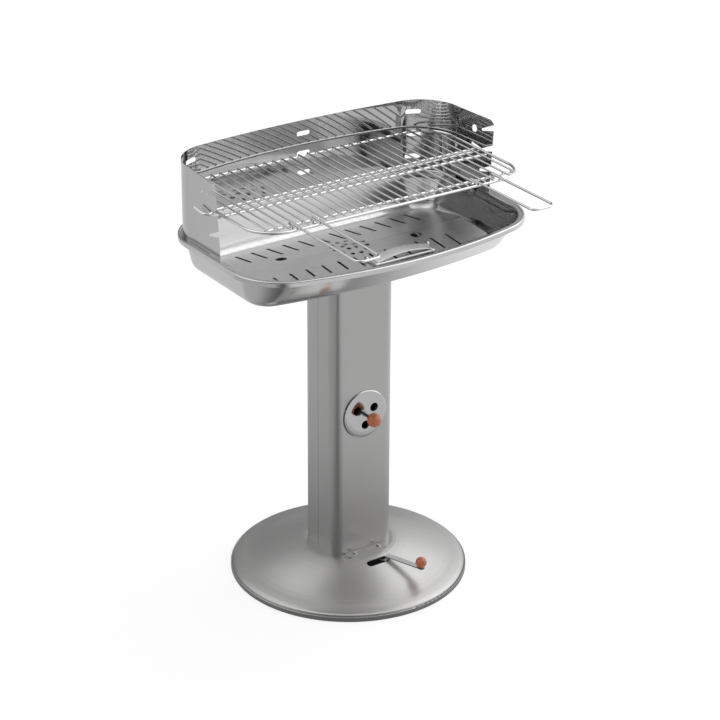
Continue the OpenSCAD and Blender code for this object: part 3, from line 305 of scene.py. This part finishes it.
def mouth_ring(z, shape):
    """The mouth's rounded rectangle, with a point in the direction of each point of a shape."""
    half_x, half_y, radius = MOUTH
    centre_x, centre_y = half_x - radius, half_y - radius
    no_zero = 1e-9
    points = []
    for x, y in shape:
        length = math.hypot(x, y)
        ux, uy = abs(x) / length, abs(y) / length
        reach = min(half_x / max(ux, no_zero), half_y / max(uy, no_zero))
        if reach * ux > centre_x and reach * uy > centre_y:
            middle = ux * centre_x + uy * centre_y
            off = middle * middle - centre_x * centre_x - centre_y * centre_y + radius * radius
            reach = middle + math.sqrt(max(off, 0))
        points.append((x / length * reach, y / length * reach, z))
    return points


def foot_rings(radius, depth):
    """The rounded foot of the wall, from the floor up, at a depth in the sheet."""
    rings = []
    for i in range(FOOT_N + 1):
        t = QUARTER * i / FOOT_N
        z = BOWL_Z + depth + radius * (1 - math.cos(t))
        rings.append(ring(inset(wall_at(z), depth + radius * (1 - math.sin(t))), z))
    return rings


def side_rings(depth):
    """The sloping wall above its foot, at a depth in the sheet."""
    rise = BOWL_H - FOOT_ROUND - 3 * WALL
    heights = [BOWL_Z + FOOT_ROUND + rise * share for share in (0.25, 0.5, 0.75)]
    return [ring(inset(wall_at(z), depth), z) for z in heights]


def bead_rings():
    rings = []
    for i in range(BEAD_N + 1):
        t = math.pi * i / BEAD_N
        flat = BEAD_W / 2 * (1 - math.cos(t))
        fall = BEAD_EDGE_FALL * (1 - min(1.0, flat / BEAD_EDGE_W)) ** 2
        rings.append(ring(inset(RIM, flat), RIM_Z + BEAD_H * math.sin(t) - fall))
    return rings


def make_bowl():
    floor_shape = outline_points(inset(wall_at(BOWL_Z), FOOT_ROUND))
    outside = foot_rings(FOOT_ROUND, 0) + side_rings(0)
    inside_up = foot_rings(FOOT_ROUND - WALL, WALL) + side_rings(WALL)
    rings = [mouth_ring(BOWL_Z, floor_shape)] + outside
    rings += [ring(inset(RIM, depth), RIM_Z - fall) for depth, fall in RIM_OUTSIDE]
    rings += bead_rings()
    rings += [ring(inset(RIM, depth), RIM_Z - fall) for depth, fall in RIM_INSIDE]
    rings += list(reversed(inside_up)) + [mouth_ring(BOWL_Z + WALL, floor_shape)]
    n = len(floor_shape)
    verts = [point for points in rings for point in points]
    faces = []
    for i in range(len(rings)):
        k = (i + 1) % len(rings)
        for j in range(n):
            q = (j + 1) % n
            faces.append((i * n + j, i * n + q, k * n + q, k * n + j))
    obj = mesh_object("bowl_shell", verts, faces, "stand", MATS["satin_steel"], 38)
    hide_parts("bowl")


# windscreen: cut out flat along its own length, then bent
SCREEN_H = 138.5
SCREEN_T = 1.0
SCREEN_FRONT = 31.0
SCREEN = WALL_TOP._replace(corner=80.0)
# the ends lean outwards and have a round upper front corner
LEAN = 7.5
TIP = 12.0
TIP_SPARE = 0.5
TIP_N = 14
# seats for the support wire's hooks at three heights, each with a notch that rises to the front
SUPPORT_Y = -1.0
SUPPORT_H = SCREEN_H * 0.545
SEAT_R = 2.8
NOTCH_MOUTH = 12.0
NOTCH_FALL = 8.5
NOTCH_PITCH = 39.0
NOTCH_LOW = 0.3
NOTCH_HIGH = 5.3
LOCK_LEN = 27.0
LOCK_RISE = 5.0
HANG_R = 7.0
HANG_Y = 22.0
HANG_DOWN = 28.0
# slots of the back panel
SLOT_L = 28.0
SLOT_W = 9.0
BACK_PITCH = 38.0
BACK_SHIFT = 8.0
SIDE_SLOT_X = 240.0
SIDE_PITCH = 44.0
SIDE_DROP = 4.0
# fixing tongues behind the bowl's ends
TONGUE_Y = 40.0
TONGUE_HALF_W = 32.0
TONGUE_Z = (-22.0, 3.0)
TONGUE_DEPTH = (-1.1, -0.1)
# how far cuts pass the sheet's edge
OVER = 2.0
HOLE_N = 28
SLOT_END_N = 12

# the flat sheet: two straight ends, two bends and the back's bow
BEND_X = SCREEN.half_length - SCREEN.corner
BEND_Y = corner_y(SCREEN, SCREEN.rear, SCREEN.rear_bow)
BOW_ANGLE = bow_angle(SCREEN, SCREEN.rear_bow)
STRAIGHT = SCREEN_FRONT + BEND_Y
BEND = SCREEN.corner * (QUARTER - BOW_ANGLE)
BOW = SCREEN.rear_bow * 2 * BOW_ANGLE
SHEET = 2 * STRAIGHT + 2 * BEND + BOW
BEND_STEPS = 28
BOW_STEPS = 34
STRAIGHT_STEPS = 6


def circle_loop(x, y, radius):
    angles = [2 * math.pi * i / HOLE_N for i in range(HOLE_N)]
    return [(x + radius * math.cos(t), y + radius * math.sin(t)) for t in angles]


def slot_loop(x, y, length, width, angle=0.0):
    """A slot with round ends."""
    radius = width / 2
    half = (length - width) / 2
    ca, sa = math.cos(angle), math.sin(angle)
    points = []
    for side, start in ((1, 0), (-1, math.pi)):
        for i in range(SLOT_END_N + 1):
            t = -QUARTER + math.pi * i / SLOT_END_N + start
            u, v = side * half + radius * math.cos(t), radius * math.sin(t)
            points.append((x + u * ca - v * sa, y + u * sa + v * ca))
    return points


def inside(x, y, loop):
    hit = False
    for i in range(len(loop)):
        (x1, y1), (x2, y2) = loop[i - 1], loop[i]
        if (y1 > y) != (y2 > y) and x < (x2 - x1) * (y - y1) / (y2 - y1) + x1:
            hit = not hit
    return hit


def end_cuts(right):
    """Notches, lock slot, hanging hole and tip of one end, on the flat sheet."""
    edge = -SCREEN_FRONT - OVER
    loops = []
    for i in (-1, 0, 1):
        floor = SUPPORT_H - SEAT_R + i * NOTCH_PITCH
        loops.append([
            (edge, floor + NOTCH_FALL),
            (SUPPORT_Y, floor + NOTCH_LOW),
            (SUPPORT_Y, floor + NOTCH_HIGH),
            (edge, floor + NOTCH_FALL + NOTCH_MOUTH),
        ])
        loops.append(circle_loop(SUPPORT_Y, floor + SEAT_R, SEAT_R))
    lock_y = SUPPORT_Y + LOCK_LEN / 2
    lock_h = SUPPORT_H + LOCK_RISE / 2
    lock = math.hypot(LOCK_LEN, LOCK_RISE) + 2 * SEAT_R
    loops.append(slot_loop(lock_y, lock_h, lock, 2 * SEAT_R, math.atan2(LOCK_RISE, LOCK_LEN)))
    loops.append(circle_loop(HANG_Y, SCREEN_H - HANG_DOWN, HANG_R if right else HANG_R / 2))
    tip = [(edge, SCREEN_H + OVER)]
    for i in range(TIP_N + 1):
        t = QUARTER * i / TIP_N
        y = TIP - SCREEN_FRONT - (TIP + TIP_SPARE) * math.sin(t)
        tip.append((y, SCREEN_H - TIP + (TIP + TIP_SPARE) * math.cos(t)))
    loops.append(tip)

    def along(y):
        s = y + SCREEN_FRONT
        return s if right else SHEET - s

    return [[(along(y), h) for y, h in loop] for loop in loops]


def back_cuts():
    """Slots of the back panel: the outer ones lie on the bends, which turn away from the X axis."""
    turned = math.acos((SIDE_SLOT_X - BEND_X) / SCREEN.corner)
    length = SLOT_L / math.sin(turned)
    loops = []
    for i in (-1, 0, 1):
        loops.append(slot_loop(SHEET / 2 - BACK_SHIFT, SUPPORT_H + i * BACK_PITCH, SLOT_L, SLOT_W))
        for s in (STRAIGHT + SCREEN.corner * turned, SHEET - STRAIGHT - SCREEN.corner * turned):
            loops.append(slot_loop(s, SUPPORT_H - SIDE_DROP + i * SIDE_PITCH, length, SLOT_W))
    return loops


def flat_sheet(cuts):
    """Points and triangles of the flat sheet without its cuts, divided where it will be bent."""
    verts, edges = [], []

    def closed(loop):
        start = len(verts)
        n = len(loop)
        verts.extend(Vector(point) for point in loop)
        edges.extend((start + i, start + (i + 1) % n) for i in range(n))

    def straight_line(one, two):
        start = len(verts)
        verts.extend((Vector(one), Vector(two)))
        edges.append((start, start + 1))

    closed([(0, 0), (SHEET, 0), (SHEET, SCREEN_H), (0, SCREEN_H)])
    for loop in cuts:
        closed(loop)
    folds = []
    for i in range(BEND_STEPS + 1):
        s = STRAIGHT + BEND * i / BEND_STEPS
        folds += [s, SHEET - s]
    for i in range(1, BOW_STEPS):
        folds.append(STRAIGHT + BEND + BOW * i / BOW_STEPS)
    for i in range(1, STRAIGHT_STEPS):
        s = STRAIGHT * i / STRAIGHT_STEPS
        folds += [s, SHEET - s]
    for s in sorted(folds):
        straight_line((s, 0), (s, SCREEN_H))
    for share in (0.25, 0.5, 0.75):
        straight_line((0, SCREEN_H * share), (SHEET, SCREEN_H * share))

    result = delaunay_2d_cdt(verts, edges, [], 0, 1e-5)
    points, triangles = result[0], result[2]
    kept = []
    for triangle in triangles:
        a, b, c = (points[i] for i in triangle)
        s, h = (a[0] + b[0] + c[0]) / 3, (a[1] + b[1] + c[1]) / 3
        if 0 < s < SHEET and 0 < h < SCREEN_H and not any(inside(s, h, loop) for loop in cuts):
            kept.append(triangle)
    return points, kept


def bend_point(s, h):
    """Point and outward normal at length s along the sheet and height h."""
    mirrored = s > SHEET / 2
    d = SHEET - s if mirrored else s
    if d <= STRAIGHT:
        share = 1 - d / STRAIGHT
        x, y = SCREEN.half_length + LEAN * share * h / SCREEN_H, -SCREEN_FRONT + d
        normal = Vector((1.0, LEAN / STRAIGHT * h / SCREEN_H, -LEAN * share / SCREEN_H))
    elif d <= STRAIGHT + BEND:
        t = (d - STRAIGHT) / SCREEN.corner
        x, y = BEND_X + SCREEN.corner * math.cos(t), BEND_Y + SCREEN.corner * math.sin(t)
        normal = Vector((math.cos(t), math.sin(t), 0))
    else:
        t = BOW_ANGLE - (d - STRAIGHT - BEND) / SCREEN.rear_bow
        x = SCREEN.rear_bow * math.sin(t)
        y = SCREEN.rear - SCREEN.rear_bow + SCREEN.rear_bow * math.cos(t)
        normal = Vector((math.sin(t), math.cos(t), 0))
    normal.normalize()
    if mirrored:
        x = -x
        normal.x = -normal.x
    return Vector((x, y, RIM_Z + h)), normal


def tongue_points(side):
    """Corners of the tongue that lies against the bowl's sloping end."""
    slope = math.atan((WALL_TOP.half_length - WALL_FOOT.half_length) / BOWL_H)
    turn = Matrix.Rotation(slope, 3, "Y")
    points = []
    for z in TONGUE_Z:
        for y in (-TONGUE_HALF_W, TONGUE_HALF_W):
            for depth in TONGUE_DEPTH:
                p = turn @ Vector((depth, 0, z))
                points.append(Vector((side * (SCREEN.half_length - WALL + p.x), TONGUE_Y + y, RIM_Z + p.z)))
    return points


TONGUE_FACES = [(0, 1, 3, 2), (4, 6, 7, 5), (0, 4, 5, 1), (2, 3, 7, 6), (0, 2, 6, 4), (1, 5, 7, 3)]
# what a face of the windscreen belongs to; outer and inner faces take the sheet's exact normal
OUTER, INNER, EDGE = 1, -1, 0


def make_windscreen():
    points, triangles = flat_sheet(end_cuts(True) + end_cuts(False) + back_cuts())
    used = sorted({i for triangle in triangles for i in triangle})
    number = {old: new for new, old in enumerate(used)}
    n = len(used)
    outer, normals = zip(*(bend_point(points[i][0], points[i][1]) for i in used))
    verts = list(outer) + [point - normal * SCREEN_T for point, normal in zip(outer, normals)]

    faces, kinds, border = [], [], {}
    for triangle in triangles:
        face = [number[i] for i in triangle]
        a, b, c = (outer[i] for i in face)
        if (b - a).cross(c - a).dot(normals[face[0]]) < 0:
            face.reverse()
        faces += [tuple(face), tuple(i + n for i in reversed(face))]
        kinds += [OUTER, INNER]
        for u, v in zip(face, face[1:] + face[:1]):
            if (v, u) in border:
                del border[(v, u)]
            else:
                border[(u, v)] = True
    for u, v in border:
        faces.append((u, u + n, v + n, v))
        kinds.append(EDGE)
    for side in (1, -1):
        base = len(verts)
        verts += tongue_points(side)
        for face in TONGUE_FACES:
            face = face if side < 0 else tuple(reversed(face))
            faces.append(tuple(base + i for i in face))
            kinds.append(EDGE)

    slot = "polished_steel"
    obj = mesh_object("windscreen_sheet", verts, faces, "stand", MATS[slot])
    data = obj.data
    loop_normals = []
    for polygon, kind in zip(data.polygons, kinds):
        for i in polygon.loop_indices:
            exact = normals[data.loops[i].vertex_index % n] * kind if kind else polygon.normal
            loop_normals.append(exact)
    for polygon in data.polygons:
        polygon.use_smooth = True
    data.normals_split_custom_set([tuple(normal) for normal in loop_normals])
    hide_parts("windscreen")


# arched grip strip of the charcoal plate's handle, in the frame of the handle's hinge
PIVOT = Vector((57.0, -68.284, 650.492))
PLATE_TILT = math.radians(4.07)
GRIP_LEN = 118.0
GRIP_W = 24.0
GRIP_RISE = 9.0
GRIP_T = 1.2
GRIP_Y = -4.0
GRIP_Z = 2.1
GRIP_N = 48
GRIP_EDGE_N = 6


def make_grip():
    radius = (GRIP_LEN ** 2 / 4 + GRIP_RISE ** 2) / (2 * GRIP_RISE)
    half_angle = math.asin(GRIP_LEN / 2 / radius)
    edge = GRIP_T / 2
    section = []
    for y, sign in ((GRIP_Y - edge, 1), (GRIP_Y - GRIP_W + edge, -1)):
        for i in range(GRIP_EDGE_N + 1):
            t = sign * QUARTER - sign * math.pi * i / GRIP_EDGE_N
            section.append((y + edge * math.cos(t) * sign, edge * math.sin(t)))
    tilt = Matrix.Rotation(PLATE_TILT, 3, "X")
    centre_z = GRIP_Z + GRIP_RISE - radius
    n = len(section)
    verts = []
    for i in range(GRIP_N + 1):
        t = -half_angle + 2 * half_angle * i / GRIP_N
        for y, height in section:
            r = radius + edge + height
            verts.append(PIVOT + tilt @ Vector((r * math.sin(t), y, centre_z + r * math.cos(t))))
    last = GRIP_N * n
    faces = [tuple(range(n)), tuple(reversed(range(last, last + n)))]
    for i in range(GRIP_N):
        for j in range(n):
            k = (j + 1) % n
            faces.append((i * n + j, (i + 1) * n + j, (i + 1) * n + k, i * n + k))
    # the strip's pale colour is partly painted sheen, standing in for light reflected from above
    mat = MATS["pale_strip_painted_sheen"]
    obj = mesh_object("plate_grip_strip", verts, faces, "coal_handle", mat, 60)
    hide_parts("plate_handle_grip")


make_bowl()
make_windscreen()
make_grip()


# studio: its sides are fixed in the room; near is the side that the photograph is taken from
RIGHT, BACK, LEFT, NEAR = (0.83, -0.56), (0.56, 0.83), (-0.83, 0.56), (-0.56, -0.83)
NEAR_RIGHT, BACK_RIGHT = (0.19, -0.98), (0.98, 0.19)
BACK_LEFT, NEAR_LEFT = (-0.19, 0.98), (-0.98, -0.19)
LOW, MID = 0.22, 1.0
WALL_REACH = (0.64, 0.98)
CEILING_REACH = (0.50, 0.95)
# what metal sees of the walls: direction, cosines between which it brightens, strength
WALLS = [
    ((*NEAR_RIGHT, LOW), WALL_REACH, 0.15),
    ((*RIGHT, LOW), WALL_REACH, 0.9),
    ((*BACK_RIGHT, LOW), WALL_REACH, 0.8),
    ((*BACK, LOW), WALL_REACH, 0.15),
    ((*BACK_LEFT, LOW), WALL_REACH, 0.05),
    ((*LEFT, LOW), WALL_REACH, 0.3),
    ((*NEAR_LEFT, LOW), WALL_REACH, 0.02),
    ((*NEAR, MID), WALL_REACH, 0.02),
    ((*RIGHT, MID), WALL_REACH, 0.55),
    ((*BACK, MID), WALL_REACH, 0.18),
    ((*LEFT, MID), WALL_REACH, 0.8),
    ((0, 0, 1), CEILING_REACH, 0.8),
]
# what metal sees of the floor: strength at the object, and rise over a distance to three sides
FLOOR_NEAR = 0.12
FLOOR_REACH = (0.0, 0.6)
FLOOR_SIDES = [((*RIGHT, 0), 0.70), ((*LEFT, 0), 0.43), ((*BACK, 0), 0.2)]
FLOOR_R = 40.0
FLOOR_Z = -0.0005
FLOOR_N = 64
# colour of the floor for light, and for the camera its shadowed part and its glow
FLOOR_GREY = 0.86
FLOOR_SHADE = 0.42
FLOOR_GLOW = 0.76
FILL = 0.5
WHITE = (1, 1, 1, 1)


def ramp(tree, vector, side, reach, value):
    """Smooth rise to a value along a direction."""
    dot = add(tree, "ShaderNodeVectorMath", operation="DOT_PRODUCT")
    dot.inputs[1].default_value = side
    link(tree, vector, dot.inputs[0])
    return map_range(tree, dot.outputs["Value"], reach, (0, value), interpolation_type="SMOOTHSTEP")


def total(tree, terms, start):
    """Sum of a number and several outputs."""
    result = None
    for term in terms:
        node = add(tree, "ShaderNodeMath", operation="ADD")
        link(tree, term, node.inputs[0])
        if result is None:
            node.inputs[1].default_value = start
        else:
            link(tree, result, node.inputs[1])
        result = node.outputs[0]
    return result


def by_ray(tree, path, kind, other, shown):
    """One shader for rays of a kind, and another for all other rays."""
    node = add(tree, "ShaderNodeMixShader")
    link(tree, path.outputs[kind], node.inputs[0])
    link(tree, other.outputs[0], node.inputs[1])
    link(tree, shown.outputs[0], node.inputs[2])
    return node


def make_floor():
    data = bpy.data.meshes.new("floor")
    angles = [2 * math.pi * i / FLOOR_N for i in range(FLOOR_N)]
    verts = [(FLOOR_R * math.cos(t), FLOOR_R * math.sin(t), FLOOR_Z) for t in angles]
    data.from_pydata(verts, [], [tuple(range(FLOOR_N))])
    obj = bpy.data.objects.new("floor", data)
    bpy.context.scene.collection.objects.link(obj)
    mat = bpy.data.materials.new("floor")
    mat.use_nodes = True
    tree = mat.node_tree
    tree.nodes.clear()
    out = add(tree, "ShaderNodeOutputMaterial")
    path = add(tree, "ShaderNodeLightPath")
    plain = add(tree, "ShaderNodeBsdfDiffuse", Color=(*[FLOOR_GREY] * 3, 1))
    # the camera sees a white floor that still takes the object's shadow
    shade = add(tree, "ShaderNodeBsdfDiffuse", Color=(*[FLOOR_SHADE] * 3, 1))
    glow = add(tree, "ShaderNodeEmission", Color=WHITE, Strength=FLOOR_GLOW)
    photographed = add(tree, "ShaderNodeAddShader")
    link(tree, shade.outputs[0], photographed.inputs[0])
    link(tree, glow.outputs[0], photographed.inputs[1])
    # metal sees the floor dark round the object and brighter towards the studio's sides
    place = add(tree, "ShaderNodeNewGeometry").outputs["Position"]
    rises = [ramp(tree, place, side, FLOOR_REACH, value) for side, value in FLOOR_SIDES]
    mirrored = add(tree, "ShaderNodeEmission", Color=WHITE)
    link(tree, total(tree, rises, FLOOR_NEAR), mirrored.inputs["Strength"])
    seen = by_ray(tree, path, "Is Glossy Ray", plain, mirrored)
    seen = by_ray(tree, path, "Is Camera Ray", seen, photographed)
    link(tree, seen.outputs[0], out.inputs["Surface"])
    data.materials.append(mat)


def make_world():
    world = bpy.data.worlds.new("studio")
    bpy.context.scene.world = world
    world.use_nodes = True
    tree = world.node_tree
    tree.nodes.clear()
    out = add(tree, "ShaderNodeOutputWorld")
    path = add(tree, "ShaderNodeLightPath")
    direction = add(tree, "ShaderNodeTexCoord").outputs["Generated"]
    rises = [ramp(tree, direction, Vector(side).normalized(), reach, value) for side, reach, value in WALLS]
    room = add(tree, "ShaderNodeBackground", Color=WHITE)
    link(tree, total(tree, rises, 0), room.inputs["Strength"])
    fill = add(tree, "ShaderNodeBackground", Color=WHITE, Strength=FILL)
    background = add(tree, "ShaderNodeBackground", Color=WHITE, Strength=1.0)
    seen = by_ray(tree, path, "Is Glossy Ray", fill, room)
    seen = by_ray(tree, path, "Is Camera Ray", seen, background)
    link(tree, seen.outputs[0], out.inputs["Surface"])


# the lamp's direction, width as an angle, and strength
KEY_DIRECTION = (0.75, 0.10, 0.80)
KEY_WIDTH = 60
KEY_STRENGTH = 0.5


def make_key():
    lamp = bpy.data.lights.new("key", "SUN")
    lamp.angle = math.radians(KEY_WIDTH)
    lamp.energy = KEY_STRENGTH
    obj = bpy.data.objects.new("key", lamp)
    obj.rotation_euler = (-Vector(KEY_DIRECTION)).to_track_quat("-Z", "Y").to_euler()
    bpy.context.scene.collection.objects.link(obj)


# the photograph's camera
LENS = 126.24
SENSOR = 36.0
CAMERA_PLACE = (-2.3291, -3.4856, 2.3914)
AZIMUTH = math.radians(-34.03)
DOWN = math.radians(25.14)
ROLL = math.radians(0.32)


def make_camera():
    camera = bpy.data.cameras.new("photo")
    camera.lens = LENS
    camera.sensor_width = SENSOR
    camera.clip_start, camera.clip_end = 0.1, 100
    obj = bpy.data.objects.new("photo", camera)
    bpy.context.scene.collection.objects.link(obj)
    level = Vector((math.cos(AZIMUTH), math.sin(AZIMUTH), 0))
    ahead = Vector((
        -math.sin(AZIMUTH) * math.cos(DOWN),
        math.cos(AZIMUTH) * math.cos(DOWN),
        -math.sin(DOWN),
    ))
    upright = level.cross(ahead)
    right = level * math.cos(ROLL) + upright * math.sin(ROLL)
    up = upright * math.cos(ROLL) - level * math.sin(ROLL)
    turn = Matrix((right, up, -ahead)).transposed().to_4x4()
    obj.matrix_world = Matrix.Translation(CAMERA_PLACE) @ turn
    bpy.context.scene.camera = obj


make_floor()
make_world()
make_key()
make_camera()
bpy.context.scene.view_settings.view_transform = "Standard"
